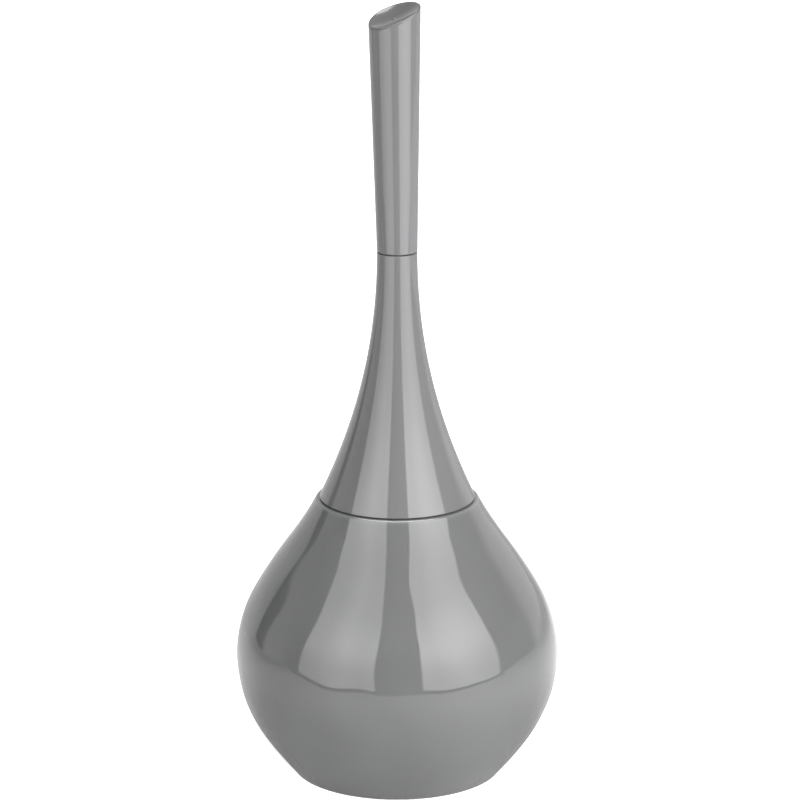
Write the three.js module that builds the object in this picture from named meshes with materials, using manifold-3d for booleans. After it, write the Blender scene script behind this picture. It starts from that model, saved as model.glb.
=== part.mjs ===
// A toilet brush that stands in a drop-shaped ceramic holder.
//
// Millimetres, +Z up. The origin is on the surface that the holder stands on, below the centre of
// its foot, and the high side of the handle's slanted top faces +X.
//
// The holder is a hollow glazed bowl on four soft pads. The brush lifts straight out of it: a long
// hollow cone covers the bowl's mouth and stands on its rim through a soft seal, a tube carries the
// brush head below the cone, and the handle screws down on the tube's top end and clamps the cone.
// The brush head screws on the tube's bottom end, so that it can be replaced.
import * as THREE from 'three';
import { mergeVertices } from 'three/addons/utils/BufferGeometryUtils.js';
import Module from 'manifold-3d';

const wasm = await Module();
wasm.setup();

// ---------- Driving dimensions ----------

const ROUND = 40; // sides of a large round piece
const ROUND_SMALL = 24; // sides of a small round piece

// Bowl, the ceramic holder
const PAD_STANDOFF = 0.8; // how far the pads hold the foot above the surface
const FOOT_RADIUS = 54.9; // outer edge of the flat foot ring, before its rounding
const FOOT_ROUNDING = 1;
const FOOT_RING_WIDTH = 8;
const FOOT_SLOPE = THREE.MathUtils.degToRad(52); // of the belly where it leaves the foot
const FOOT_PULL = 13; // how far that slope is held
const BELLY_RADIUS = 85.5; // the widest point
const BELLY_HEIGHT = 64.7;
const BELLY_PULL_DOWN = 32.5; // how far the belly keeps upright below the widest point
const BELLY_PULL_UP = 33.2; // and above it
const RIM_RADIUS = 42.8;
const RIM_HEIGHT = 150.8;
const RIM_SLOPE = THREE.MathUtils.degToRad(62); // of the shoulder at the rim
const RIM_PULL = 34.5;
const RIM_ROUNDING = 0.5;
const BOWL_WALL = 5;
const BOWL_FLOOR = 5.5;
const FOOT_RECESS = 1.5; // depth of the hollow inside the foot ring
const FLOOR_CORNER = 6;

// Pads below the foot
const PAD_COUNT = 4;
const PAD_RADIUS = 7;
const PAD_MARGIN = 2.4; // between a pad and the edge of the hollow inside the foot ring
const PAD_EDGE = 0.4;

// Seal between the rim and the cone
const SEAL_THICKNESS = 0.7;
const SEAL_INSET = 0.9; // how far it lies inside the cone's outer edge

// Cone, the hollow cover
const CONE_STEP = 1.7; // how far the cone's bottom edge lies inside the rim's
const CONE_SLOPE = THREE.MathUtils.degToRad(64.7);
const CONE_PULL = 55.6;
const CONE_HEIGHT = 133.1;
const CONE_WALL = 2.4;
const NECK_ROOM = 0.75; // radial, around the flange of the stem's top plug
const NECK_PULL = 38.9;
const NECK_BLOCK = 14; // length of the solid neck that the stem's spigot passes through

// Plate that closes the cone
const PLATE_THICKNESS = 2.4;
const COLLAR_DEPTH = 8; // the ring that centres the cone in the mouth
const COLLAR_WALL = 2.2;
const COLLAR_CLEARANCE = 1; // radial, in the bowl's mouth
const COLLAR_CHAMFER = 0.8;

// Stem
const TUBE_RADIUS = 6;
const TUBE_WALL = 1;
const PLUG_FLANGE = 1.5;
const PLUG_FLANGE_OVERHANG = 1.5; // of the top plug's flange past the tube
const PLUG_INSERT = 12; // length inside the tube
const SPIGOT_STEP = 1.1; // how much smaller a spigot's radius is than the tube's
const SPIGOT_CHAMFER = 0.8;
const THREAD_LENGTH = 11; // of a spigot inside the handle, or the head
const THREAD_CLEARANCE = 0.3;
const SOCKET_SPARE = 1.2; // depth of a threaded hole past its spigot

// Grommet that seals the stem in the plate
const GROMMET_WALL = 2; // between the tube and the plate's hole
const GROMMET_FLANGE = 2; // radial, past the hole
const GROMMET_LIP = 1.2;

// Washers between screwed pieces
const WASHER_THICKNESS = 0.6;
const NECK_WASHER_INSET = 0.95; // so that the joint shows as a fine groove

// Handle
const HANDLE_TOP_RADIUS = 13.6;
const HANDLE_LENGTH = 125.5; // to the middle of the slanted top
const HANDLE_WALL = 2;
const HANDLE_LEAN = 1.7; // how far the top's centre lies towards the low side
const TOP_SLANT = THREE.MathUtils.degToRad(20);
const HANDLE_SOCKET_LENGTH = 18;

// Cap in the slanted top
const CAP_LIP = 1.2;
const CAP_SKIRT = 5; // depth of the plug below the lip
const CAP_WALL = 1.4;
const DISH_DEPTH = 2.4;
const DISH_RIM = 1; // flat width left around the dish

// Brush head
const HEAD_CLEARANCE = 12.9; // between the head's lowest bristles and the bowl's floor
const CORE_RADIUS = 10.5;
const CORE_LENGTH = 79;
const CORE_NECK_RADIUS = 9;
const CORE_NECK_LENGTH = 4;
const CORE_DOME = 5; // height of the rounded bottom
const CORE_END = 7; // length at the bottom that has no rows
const HEAD_RADIUS = 34.5; // over the longest bristles
const HEAD_END_RADIUS = 27; // over the first and the last row
const ROW_COUNT = 8;
const ROW_GAP = 0.9; // between two rows
const TIP_RADIUS = 21; // of the bristles that point down
const TIP_LENGTH = 11.5;

const GAP = 0.3; // between pieces that are fixed to each other on a round or slanted face

// Radii that follow from those
const RECESS_RADIUS = FOOT_RADIUS - FOOT_RING_WIDTH - FOOT_RECESS;
const PAD_CIRCLE = RECESS_RADIUS - PAD_RADIUS - PAD_MARGIN; // the one that the pads lie on
const CONE_RADIUS = RIM_RADIUS - CONE_STEP;
const PLUG_FLANGE_RADIUS = TUBE_RADIUS + PLUG_FLANGE_OVERHANG;
const NECK_RADIUS = PLUG_FLANGE_RADIUS + NECK_ROOM + CONE_WALL; // also of the handle's bottom
const GROMMET_HOLE = TUBE_RADIUS + GROMMET_WALL;
const SPIGOT_RADIUS = TUBE_RADIUS - SPIGOT_STEP;
const SPIGOT_HOLE = SPIGOT_RADIUS + THREAD_CLEARANCE;

// Heights that follow from those
const RECESS_TOP = PAD_STANDOFF + FOOT_RECESS;
const FLOOR_HEIGHT = RECESS_TOP + BOWL_FLOOR;
const TIP_BOTTOM = FLOOR_HEIGHT + HEAD_CLEARANCE;
const CORE_BOTTOM = TIP_BOTTOM + TIP_LENGTH + GAP;
const HEAD_TOP = CORE_BOTTOM + CORE_LENGTH;
const CONE_BOTTOM = RIM_HEIGHT + SEAL_THICKNESS;
const CONE_TOP = CONE_BOTTOM + CONE_HEIGHT;
const NECK_BLOCK_BOTTOM = CONE_TOP - NECK_BLOCK;
const HANDLE_BOTTOM = CONE_TOP + WASHER_THICKNESS;
const TUBE_TOP = NECK_BLOCK_BOTTOM - PLUG_FLANGE;
const PLUG_BOTTOM = HEAD_TOP + WASHER_THICKNESS;
const TUBE_BOTTOM = PLUG_BOTTOM + PLUG_FLANGE;
const PLATE_TOP = CONE_BOTTOM + PLATE_THICKNESS;

// ---------- Materials ----------

const material = (color, roughness, metalness = 0) =>
  new THREE.MeshStandardMaterial({ color, roughness, metalness });
const glaze = material(0x747873, 0.08);
const greyPlastic = material(0x7f7f82, 0.2);
const darkRubber = material(0x333335, 0.7);
const padRubber = material(0x4a4a4b, 0.8);
const steel = material(0xb9bbbd, 0.3, 1);
const corePlastic = material(0xe9eae8, 0.4);
const bristle = material(0xf4f5f3, 0.6);

// ---------- Helpers ----------

const point = (x, y) => new THREE.Vector2(x, y);

// A cubic curve in the half plane of (radius, height), and its points.
const curve = (a, b, c, d) => new THREE.CubicBezierCurve(a, b, c, d);

// The point at a distance from another, along an angle measured from the outward direction.
const along = (from, angle, distance) =>
  point(from.x + distance * Math.cos(angle), from.y + distance * Math.sin(angle));

// Points of an arc, with both its ends.
function arc(centre, radius, from, to, steps) {
  const points = [];
  for (let i = 0; i <= steps; i++) points.push(along(centre, from + ((to - from) * i) / steps, radius));
  return points;
}

// The points of a rising curve, moved inwards by a wall's thickness.
function insideOf(path, wall, steps) {
  const points = [];
  for (let i = 0; i <= steps; i++) {
    const t = i / steps;
    const on = path.getPoint(t);
    const tangent = path.getTangent(t);
    points.push(point(on.x - wall * tangent.y, on.y + wall * tangent.x));
  }
  return points;
}

// The radius of a rising outline at a height, between its points.
function radiusAt(points, height) {
  const next = points.findIndex((p) => p.y >= height);
  if (next <= 0) return points[Math.max(next, 0)].x;
  const [low, high] = [points[next - 1], points[next]];
  return low.x + ((high.x - low.x) * (height - low.y)) / (high.y - low.y);
}

// A body turned about Z from an outline of (radius, height) points that runs round it anticlockwise.
// An outline that doesn't meet the axis is closed on itself.
function turned(outline, sides) {
  const points = outline.map((p) => p.clone());
  if (points[0].x > 0 || points.at(-1).x > 0) points.push(points[0].clone());
  return new THREE.LatheGeometry(points, sides).rotateX(Math.PI / 2);
}

// A ring or a pipe of rectangular section.
const ring = (inner, outer, low, high, sides) =>
  turned([point(inner, low), point(outer, low), point(outer, high), point(inner, high)], sides);

// A plain round bar.
const bar = (radius, low, high, sides) =>
  turned([point(0, low), point(radius, low), point(radius, high), point(0, high)], sides);

function solidOf(geometry) {
  const bare = new THREE.BufferGeometry();
  bare.setAttribute('position', geometry.getAttribute('position'));
  bare.setIndex(geometry.index);
  const merged = mergeVertices(bare, 1e-4);
  return new wasm.Manifold(
    new wasm.Mesh({
      numProp: 3,
      vertProperties: new Float32Array(merged.attributes.position.array),
      triVerts: new Uint32Array(merged.index.array),
    }),
  );
}

function geometryOf(solid) {
  const { vertProperties, triVerts } = solid.getMesh();
  const geometry = new THREE.BufferGeometry();
  geometry.setAttribute('position', new THREE.BufferAttribute(vertProperties, 3));
  geometry.setIndex(new THREE.BufferAttribute(triVerts, 1));
  geometry.computeVertexNormals();
  return geometry;
}

function named(name, geometry, surface) {
  const mesh = new THREE.Mesh(geometry, surface);
  mesh.name = name;
  return mesh;
}

// ---------- Holder ----------

const SHOULDER = curve(
  point(BELLY_RADIUS, BELLY_HEIGHT),
  point(BELLY_RADIUS, BELLY_HEIGHT + BELLY_PULL_UP),
  along(point(RIM_RADIUS, RIM_HEIGHT), Math.PI - RIM_SLOPE, -RIM_PULL),
  point(RIM_RADIUS, RIM_HEIGHT),
);
const FOOT_ARC = arc(
  point(FOOT_RADIUS, PAD_STANDOFF + FOOT_ROUNDING),
  FOOT_ROUNDING,
  -Math.PI / 2,
  FOOT_SLOPE - Math.PI / 2,
  2,
);
const BELLY = curve(
  FOOT_ARC.at(-1),
  along(FOOT_ARC.at(-1), FOOT_SLOPE, FOOT_PULL),
  point(BELLY_RADIUS, BELLY_HEIGHT - BELLY_PULL_DOWN),
  point(BELLY_RADIUS, BELLY_HEIGHT),
);
// Radius of the bowl's mouth: the wall is measured square to the slanted shoulder.
const MOUTH_RADIUS = RIM_RADIUS - BOWL_WALL / Math.sin(RIM_SLOPE);

// The inside of the bowl, from the rim down to the flat floor.
function bowlInside() {
  const wall = [...insideOf(BELLY, BOWL_WALL, 8).slice(0, -1), ...insideOf(SHOULDER, BOWL_WALL, 10)]
    .filter((p) => p.y > FLOOR_HEIGHT + FLOOR_CORNER && p.y < RIM_HEIGHT - BOWL_WALL)
    .reverse();
  const [above, last] = wall.slice(-2);
  const fall = (last.y - FLOOR_HEIGHT) / (above.y - last.y);
  const corner = point(last.x - (above.x - last.x) * fall, FLOOR_HEIGHT);
  const bend = new THREE.QuadraticBezierCurve(last, corner, point(corner.x - FLOOR_CORNER, FLOOR_HEIGHT));
  return [...wall, ...bend.getPoints(3).slice(1)];
}

function holderBowl() {
  const rimTop = RIM_HEIGHT - RIM_ROUNDING;
  const outline = [
    point(0, RECESS_TOP),
    point(RECESS_RADIUS, RECESS_TOP),
    point(FOOT_RADIUS - FOOT_RING_WIDTH, PAD_STANDOFF),
    ...FOOT_ARC,
    ...BELLY.getPoints(9).slice(1),
    ...SHOULDER.getPoints(11).slice(1, -1),
    point(RIM_RADIUS, rimTop),
    point(RIM_RADIUS - RIM_ROUNDING, RIM_HEIGHT),
    point(MOUTH_RADIUS + RIM_ROUNDING, RIM_HEIGHT),
    point(MOUTH_RADIUS, rimTop),
    ...bowlInside(),
    point(0, FLOOR_HEIGHT),
  ];
  return turned(outline, ROUND);
}

function footPad() {
  const edge = PAD_RADIUS - PAD_EDGE;
  const outline = [point(0, 0), point(edge, 0), point(PAD_RADIUS, PAD_EDGE), point(PAD_RADIUS, RECESS_TOP)];
  return turned([...outline, point(0, RECESS_TOP)], ROUND_SMALL);
}

// ---------- Cone, plate and seals ----------

const CONE = curve(
  point(CONE_RADIUS, CONE_BOTTOM),
  along(point(CONE_RADIUS, CONE_BOTTOM), Math.PI - CONE_SLOPE, CONE_PULL),
  point(NECK_RADIUS, CONE_TOP - NECK_PULL),
  point(NECK_RADIUS, CONE_TOP),
);
const CONE_INSIDE = insideOf(CONE, CONE_WALL, 11);
// The wall is square to the slanted cone, so its inside starts a little above the bottom edge.
const CONE_MOUTH_RADIUS = CONE_RADIUS - CONE_WALL / Math.sin(CONE_SLOPE);

function coneCover() {
  const inside = CONE_INSIDE.filter((p) => p.y < NECK_BLOCK_BOTTOM && p.y > CONE_BOTTOM + CONE_WALL);
  const outline = [
    point(CONE_MOUTH_RADIUS, CONE_BOTTOM),
    ...CONE.getPoints(12),
    point(SPIGOT_HOLE, CONE_TOP),
    point(SPIGOT_HOLE, NECK_BLOCK_BOTTOM),
    point(radiusAt(CONE_INSIDE, NECK_BLOCK_BOTTOM), NECK_BLOCK_BOTTOM),
    ...inside.reverse(),
  ];
  return turned(outline, ROUND);
}

const COLLAR_RADIUS = MOUTH_RADIUS - COLLAR_CLEARANCE;

function coverPlate() {
  const low = CONE_BOTTOM - COLLAR_DEPTH;
  const inner = COLLAR_RADIUS - COLLAR_WALL;
  const outline = [
    point(GROMMET_HOLE, CONE_BOTTOM),
    point(inner, CONE_BOTTOM),
    point(inner, low),
    point(COLLAR_RADIUS - COLLAR_CHAMFER, low),
    point(COLLAR_RADIUS, low + COLLAR_CHAMFER),
    point(COLLAR_RADIUS, CONE_BOTTOM),
    point(CONE_MOUTH_RADIUS - GAP, CONE_BOTTOM),
    point(CONE_MOUTH_RADIUS - GAP - PLATE_THICKNESS / Math.tan(CONE_SLOPE), PLATE_TOP),
    point(GROMMET_HOLE, PLATE_TOP),
  ];
  return turned(outline, ROUND);
}

const rimSeal = () =>
  ring(COLLAR_RADIUS + GAP, CONE_RADIUS - SEAL_INSET, RIM_HEIGHT, CONE_BOTTOM, ROUND);

function stemGrommet() {
  const bore = TUBE_RADIUS + GAP;
  const waist = GROMMET_HOLE - GAP;
  const flange = GROMMET_HOLE + GROMMET_FLANGE;
  const outline = [
    point(bore, CONE_BOTTOM - GROMMET_LIP),
    point(flange - GROMMET_LIP / 2, CONE_BOTTOM - GROMMET_LIP),
    point(flange, CONE_BOTTOM - GROMMET_LIP / 2),
    point(flange, CONE_BOTTOM),
    point(waist, CONE_BOTTOM),
    point(waist, PLATE_TOP),
    point(flange, PLATE_TOP),
    point(flange - GROMMET_LIP / 2, PLATE_TOP + GROMMET_LIP),
    point(bore, PLATE_TOP + GROMMET_LIP),
  ];
  return turned(outline, ROUND_SMALL);
}

// ---------- Stem ----------

const stemTube = () =>
  ring(TUBE_RADIUS - TUBE_WALL, TUBE_RADIUS, TUBE_BOTTOM, TUBE_TOP, ROUND_SMALL);

// A spigot with a flange and an insert, drawn pointing up from the flange's face at height 0.
function plugOutline(flangeRadius, spigotLength) {
  const insert = TUBE_RADIUS - TUBE_WALL - GAP;
  return [
    point(0, -PLUG_FLANGE - PLUG_INSERT),
    point(insert, -PLUG_FLANGE - PLUG_INSERT),
    point(insert, -PLUG_FLANGE),
    point(flangeRadius, -PLUG_FLANGE),
    point(flangeRadius, 0),
    point(SPIGOT_RADIUS, 0),
    point(SPIGOT_RADIUS, spigotLength - SPIGOT_CHAMFER),
    point(SPIGOT_RADIUS - SPIGOT_CHAMFER, spigotLength),
    point(0, spigotLength),
  ];
}

function stemTopPlug() {
  const spigot = HANDLE_BOTTOM + THREAD_LENGTH - NECK_BLOCK_BOTTOM;
  const outline = plugOutline(PLUG_FLANGE_RADIUS, spigot);
  return turned(outline, ROUND_SMALL).translate(0, 0, NECK_BLOCK_BOTTOM);
}

function stemBottomPlug() {
  const outline = plugOutline(TUBE_RADIUS, WASHER_THICKNESS + THREAD_LENGTH);
  return turned(outline, ROUND_SMALL).rotateX(Math.PI).translate(0, 0, PLUG_BOTTOM);
}

// ---------- Handle ----------

const TOP_CENTRE = HANDLE_BOTTOM + HANDLE_LENGTH; // where the slanted top meets the handle's middle line
const HANDLE_FLARE = (HANDLE_TOP_RADIUS - NECK_RADIUS) / HANDLE_LENGTH;
const HANDLE_SHIFT = HANDLE_LEAN / HANDLE_LENGTH;

// The handle's flared and leaning body, made smaller all round by an inset, between two heights.
function flared(inset, low, high, sides) {
  const radius = (z) => NECK_RADIUS - inset + HANDLE_FLARE * (z - HANDLE_BOTTOM);
  const outline = [point(0, low), point(radius(low), low), point(radius(high), high), point(0, high)];
  const geometry = turned(outline, sides);
  const position = geometry.getAttribute('position');
  for (let i = 0; i < position.count; i++) {
    position.setX(i, position.getX(i) - HANDLE_SHIFT * (position.getZ(i) - HANDLE_BOTTOM));
  }
  return solidOf(geometry);
}

// Everything above the slanted top, or above a plane a distance below it.
function aboveTop(distance) {
  const size = 10 * HANDLE_TOP_RADIUS;
  const block = new THREE.BoxGeometry(size, size, size)
    .translate(0, 0, size / 2 - distance)
    .rotateY(-TOP_SLANT)
    .translate(-HANDLE_LEAN, 0, TOP_CENTRE);
  return solidOf(block);
}

const HANDLE_SPARE_TOP = TOP_CENTRE + 2 * HANDLE_TOP_RADIUS; // past the slanted top, before it is cut

function handleShell() {
  const outside = flared(0, HANDLE_BOTTOM, HANDLE_SPARE_TOP, ROUND);
  const bore = flared(HANDLE_WALL, HANDLE_BOTTOM - 1, HANDLE_SPARE_TOP + 1, ROUND);
  return geometryOf(outside.subtract(bore).subtract(aboveTop(CAP_LIP)));
}

function handleSocket() {
  const top = HANDLE_BOTTOM + HANDLE_SOCKET_LENGTH;
  const body = flared(HANDLE_WALL + GAP, HANDLE_BOTTOM, top, ROUND_SMALL);
  const hole = bar(
    SPIGOT_HOLE,
    HANDLE_BOTTOM - 1,
    HANDLE_BOTTOM + THREAD_LENGTH + SOCKET_SPARE,
    ROUND_SMALL,
  );
  return geometryOf(body.subtract(solidOf(hole)));
}

// A dish that sinks into the slanted top: the lower part of a flattened ball.
function dish() {
  const halfWidth = HANDLE_TOP_RADIUS - DISH_RIM;
  const ball = (halfWidth ** 2 + DISH_DEPTH ** 2) / (2 * DISH_DEPTH);
  const geometry = new THREE.SphereGeometry(ball, ROUND, ROUND / 2)
    .scale(1 / Math.cos(TOP_SLANT), 1, 1)
    .translate(0, 0, ball - DISH_DEPTH)
    .rotateY(-TOP_SLANT)
    .translate(-HANDLE_LEAN, 0, TOP_CENTRE);
  return solidOf(geometry);
}

function handleCap() {
  const low = TOP_CENTRE - 3 * HANDLE_TOP_RADIUS;
  const fit = HANDLE_WALL + GAP;
  const lip = flared(0, low, HANDLE_SPARE_TOP, ROUND)
    .subtract(aboveTop(0))
    .intersect(aboveTop(CAP_LIP - GAP));
  const skirt = flared(fit, low, HANDLE_SPARE_TOP, ROUND);
  const hollow = flared(fit + CAP_WALL, low, HANDLE_SPARE_TOP, ROUND);
  const roof = CAP_WALL + DISH_DEPTH;
  const plug = skirt
    .subtract(aboveTop(CAP_LIP / 2))
    .intersect(aboveTop(CAP_LIP + CAP_SKIRT))
    .subtract(hollow.subtract(aboveTop(roof)));
  return geometryOf(lip.add(plug).subtract(dish()));
}

const neckWasher = () =>
  ring(SPIGOT_HOLE, NECK_RADIUS - NECK_WASHER_INSET, CONE_TOP, HANDLE_BOTTOM, ROUND_SMALL);

// ---------- Brush head ----------

function brushCore() {
  const holeEnd = HEAD_TOP - THREAD_LENGTH - SOCKET_SPARE;
  const outline = [
    point(0, CORE_BOTTOM),
    point(CORE_RADIUS - CORE_DOME, CORE_BOTTOM),
    ...arc(point(CORE_RADIUS - CORE_DOME, CORE_BOTTOM + CORE_DOME), CORE_DOME, -Math.PI / 2, 0, 4).slice(1),
    point(CORE_RADIUS, HEAD_TOP - CORE_NECK_LENGTH),
    point(CORE_NECK_RADIUS, HEAD_TOP - CORE_NECK_LENGTH + 1),
    point(CORE_NECK_RADIUS, HEAD_TOP),
    point(SPIGOT_HOLE, HEAD_TOP),
    point(SPIGOT_HOLE, holeEnd),
    point(0, holeEnd),
  ];
  return turned(outline, ROUND_SMALL);
}

const headWasher = () => ring(SPIGOT_HOLE, TUBE_RADIUS, HEAD_TOP, PLUG_BOTTOM, ROUND_SMALL);

// The outer radius of the bristles in a row, for a head that bulges at its middle.
function rowRadius(row) {
  const fromMiddle = (2 * row) / (ROW_COUNT - 1) - 1;
  return HEAD_RADIUS - (HEAD_RADIUS - HEAD_END_RADIUS) * fromMiddle ** 2;
}

// One row of tufts, as the plain ring that its bristles fill.
function bristleRow(row) {
  const pitch = (CORE_LENGTH - CORE_NECK_LENGTH - CORE_END) / ROW_COUNT;
  const high = HEAD_TOP - CORE_NECK_LENGTH - pitch * row - ROW_GAP / 2;
  return ring(CORE_RADIUS + GAP, rowRadius(row), high - pitch + ROW_GAP, high, ROUND_SMALL);
}

// The bristles that point down from the core's end, as the plain dome that they fill.
function bristleTip() {
  const top = TIP_BOTTOM + TIP_LENGTH;
  const rounding = TIP_LENGTH / 2;
  const outline = [
    point(0, TIP_BOTTOM),
    ...arc(point(TIP_RADIUS - rounding, TIP_BOTTOM + rounding), rounding, -Math.PI / 2, 0, 4),
    point(TIP_RADIUS, top),
    point(0, top),
  ];
  return turned(outline, ROUND_SMALL);
}

// ---------- Assembly ----------

const brushInHolder = new THREE.Group();

brushInHolder.add(named('holder_bowl', holderBowl(), glaze));
for (let i = 0; i < PAD_COUNT; i++) {
  const turn = (2 * Math.PI * (i + 0.5)) / PAD_COUNT;
  const pad = named(`foot_pad_${i + 1}`, footPad(), padRubber);
  pad.position.set(PAD_CIRCLE * Math.cos(turn), PAD_CIRCLE * Math.sin(turn), 0);
  brushInHolder.add(pad);
}

const brush = new THREE.Group();
brush.add(
  named('rim_seal', rimSeal(), darkRubber),
  named('cone_cover', coneCover(), greyPlastic),
  named('cover_plate', coverPlate(), greyPlastic),
  named('stem_grommet', stemGrommet(), darkRubber),
  named('stem_tube', stemTube(), steel),
  named('stem_top_plug', stemTopPlug(), steel),
  named('stem_bottom_plug', stemBottomPlug(), steel),
  named('neck_washer', neckWasher(), darkRubber),
  named('handle_shell', handleShell(), greyPlastic),
  named('handle_socket', handleSocket(), greyPlastic),
  named('handle_cap', handleCap(), greyPlastic),
  named('head_washer', headWasher(), darkRubber),
  named('brush_core', brushCore(), corePlastic),
  named('bristle_tip', bristleTip(), bristle),
);
for (let row = 0; row < ROW_COUNT; row++) {
  brush.add(named(`bristle_row_${row + 1}`, bristleRow(row), bristle));
}
brushInHolder.add(brush);

export default brushInHolder;
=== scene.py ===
"""The looks of a toilet brush that stands in its drop-shaped ceramic holder.

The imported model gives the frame. Every visible piece is modelled here again, finer, in the place of
its CAD node. Outlines are in millimetres, as (radius, height), and run round a body anticlockwise.
"""

import math
import random

import bmesh
import bpy
from mathutils import Matrix, Vector, noise


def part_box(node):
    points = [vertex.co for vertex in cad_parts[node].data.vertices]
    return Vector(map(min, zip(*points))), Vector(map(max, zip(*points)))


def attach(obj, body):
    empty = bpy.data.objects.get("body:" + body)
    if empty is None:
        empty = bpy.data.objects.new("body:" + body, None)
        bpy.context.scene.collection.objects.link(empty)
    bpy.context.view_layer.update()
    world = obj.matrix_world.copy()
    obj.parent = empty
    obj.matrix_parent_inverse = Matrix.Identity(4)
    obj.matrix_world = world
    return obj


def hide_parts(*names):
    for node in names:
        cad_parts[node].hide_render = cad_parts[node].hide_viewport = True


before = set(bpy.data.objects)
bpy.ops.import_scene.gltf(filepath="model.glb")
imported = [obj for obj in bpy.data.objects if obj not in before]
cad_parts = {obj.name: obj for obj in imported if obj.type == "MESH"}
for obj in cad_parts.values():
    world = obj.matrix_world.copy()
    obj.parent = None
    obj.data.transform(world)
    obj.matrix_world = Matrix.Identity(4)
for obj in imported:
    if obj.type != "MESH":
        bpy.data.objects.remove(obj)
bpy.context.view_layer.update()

MM = 0.001  # a millimetre in metres
SIDES = 192  # around a large turned piece
SIDES_SMALL = 96
SHARP = math.radians(32)  # edges sharper than this aren't shaded smooth


def box(node):
    """A node's lowest and highest corners at rest, in millimetres."""
    low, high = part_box(node)
    return Vector(low) / MM, Vector(high) / MM


# ---------- Sizes that the frame gives ----------

BOWL_LOW, BOWL_HIGH = box("holder_bowl")
CONE_LOW, CONE_HIGH = box("cone_cover")
HANDLE_LOW, _ = box("handle_shell")
PLATE_LOW, PLATE_HIGH = box("cover_plate")
SEAL_LOW, SEAL_HIGH = box("rim_seal")
TUBE_LOW, TUBE_HIGH = box("stem_tube")
CORE_LOW, CORE_HIGH = box("brush_core")

FOOT_HEIGHT = BOWL_LOW.z
BELLY_RADIUS = BOWL_HIGH.x
RIM_HEIGHT = BOWL_HIGH.z
CONE_RADIUS = CONE_HIGH.x
CONE_BOTTOM = CONE_LOW.z
CONE_TOP = CONE_HIGH.z
HANDLE_BOTTOM = HANDLE_LOW.z
TUBE_RADIUS = TUBE_HIGH.x

# ---------- Sizes that repeat the CAD's ----------

FOOT_RADIUS = 54.9
FOOT_ROUNDING = 1
FOOT_RING_WIDTH = 8
FOOT_SLOPE = math.radians(52)
FOOT_PULL = 13
FOOT_RECESS = 1.5
BELLY_HEIGHT = 64.7
BELLY_PULL_DOWN = 32.5
BELLY_PULL_UP = 33.2
RIM_RADIUS = 42.8
RIM_SLOPE = math.radians(62)
RIM_PULL = 34.5
BOWL_WALL = 5
BOWL_FLOOR = 5.5
CONE_SLOPE = math.radians(64.7)
CONE_PULL = 55.6
CONE_WALL = 2.4
COLLAR_CLEARANCE = 1  # radial, between the plate's collar and the mouth
COLLAR_WALL = 2.2
GROMMET_WALL = 2  # between the tube and the plate's hole
NECK_RADIUS = 10.65
NECK_PULL = 38.9
NECK_BLOCK = 14
TUBE_WALL = 1
PLUG_FLANGE = 1.5
SPIGOT_RADIUS = 4.9
SPIGOT_HOLE = 5.2
SPIGOT_CHAMFER = 0.8
THREAD_LENGTH = 11
SOCKET_SPARE = 1.2  # depth of a threaded hole past its spigot
HANDLE_TOP_RADIUS = 13.6
HANDLE_LENGTH = 125.5
HANDLE_WALL = 2
HANDLE_LEAN = 1.7
TOP_SLANT = math.radians(20)
CAP_SKIRT = 5
CAP_WALL = 1.4
DISH_DEPTH = 2.4
DISH_RIM = 1
CORE_NECK_RADIUS = 9
CORE_NECK_LENGTH = 4
CORE_DOME = 5
GAP = 0.3

# ---------- Outlines ----------


def along(start, angle, distance):
    """The point at a distance from another, along an angle measured from the outward direction."""
    return (start[0] + distance * math.cos(angle), start[1] + distance * math.sin(angle))


def arc(centre, radius, start, end, steps):
    """Points of an arc between two angles, with both its ends."""
    return [along(centre, start + (end - start) * i / steps, radius) for i in range(steps + 1)]


def curve(a, b, c, d, steps, inset=0):
    """Points of a rising cubic curve, moved inwards by a wall's thickness."""
    points = []
    for i in range(steps + 1):
        t = i / steps
        weights = ((1 - t) ** 3, 3 * t * (1 - t) ** 2, 3 * t * t * (1 - t), t**3)
        slopes = (-((1 - t) ** 2), (1 - t) * (1 - 3 * t), t * (2 - 3 * t), t * t)
        r, z = (sum(w * p[k] for w, p in zip(weights, (a, b, c, d))) for k in (0, 1))
        run, rise = (sum(w * p[k] for w, p in zip(slopes, (a, b, c, d))) for k in (0, 1))
        length = math.hypot(run, rise)
        points.append((r - inset * rise / length, z + inset * run / length))
    return points


def rounded(corners, steps=5):
    """An outline whose corners (radius, height, rounding) are rounded; two numbers make a plain point."""
    points = []
    for i, corner in enumerate(corners):
        if len(corner) == 2:
            points.append(corner)
            continue
        here = Vector(corner[:2])
        before = (Vector(corners[i - 1][:2]) - here).normalized()
        after = (Vector(corners[(i + 1) % len(corners)][:2]) - here).normalized()
        half = before.angle(after) / 2
        reach = corner[2] / math.tan(half)
        centre = here + (before + after).normalized() * corner[2] / math.sin(half)
        hold = reach + 0.2 * corner[2]
        points.append(tuple(here + before * hold))
        for k in range(steps + 1):
            share = k / steps
            along_edge = (before * (1 - share) + after * share) * reach + here - centre
            points.append(tuple(centre + along_edge.normalized() * corner[2]))
        points.append(tuple(here + after * hold))
    return points


def lerp(a, b, t):
    return a + (b - a) * t


def smooth(low, high, value):
    """0 below low, 1 above high, and a smooth step between them."""
    t = min(1, max(0, (value - low) / (high - low)))
    return t * t * (3 - 2 * t)


# ---------- Bodies ----------


def placed(name, data):
    """A new object with its data, linked to the scene."""
    made = bpy.data.objects.new(name, data)
    bpy.context.scene.collection.objects.link(made)
    return made


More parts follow.
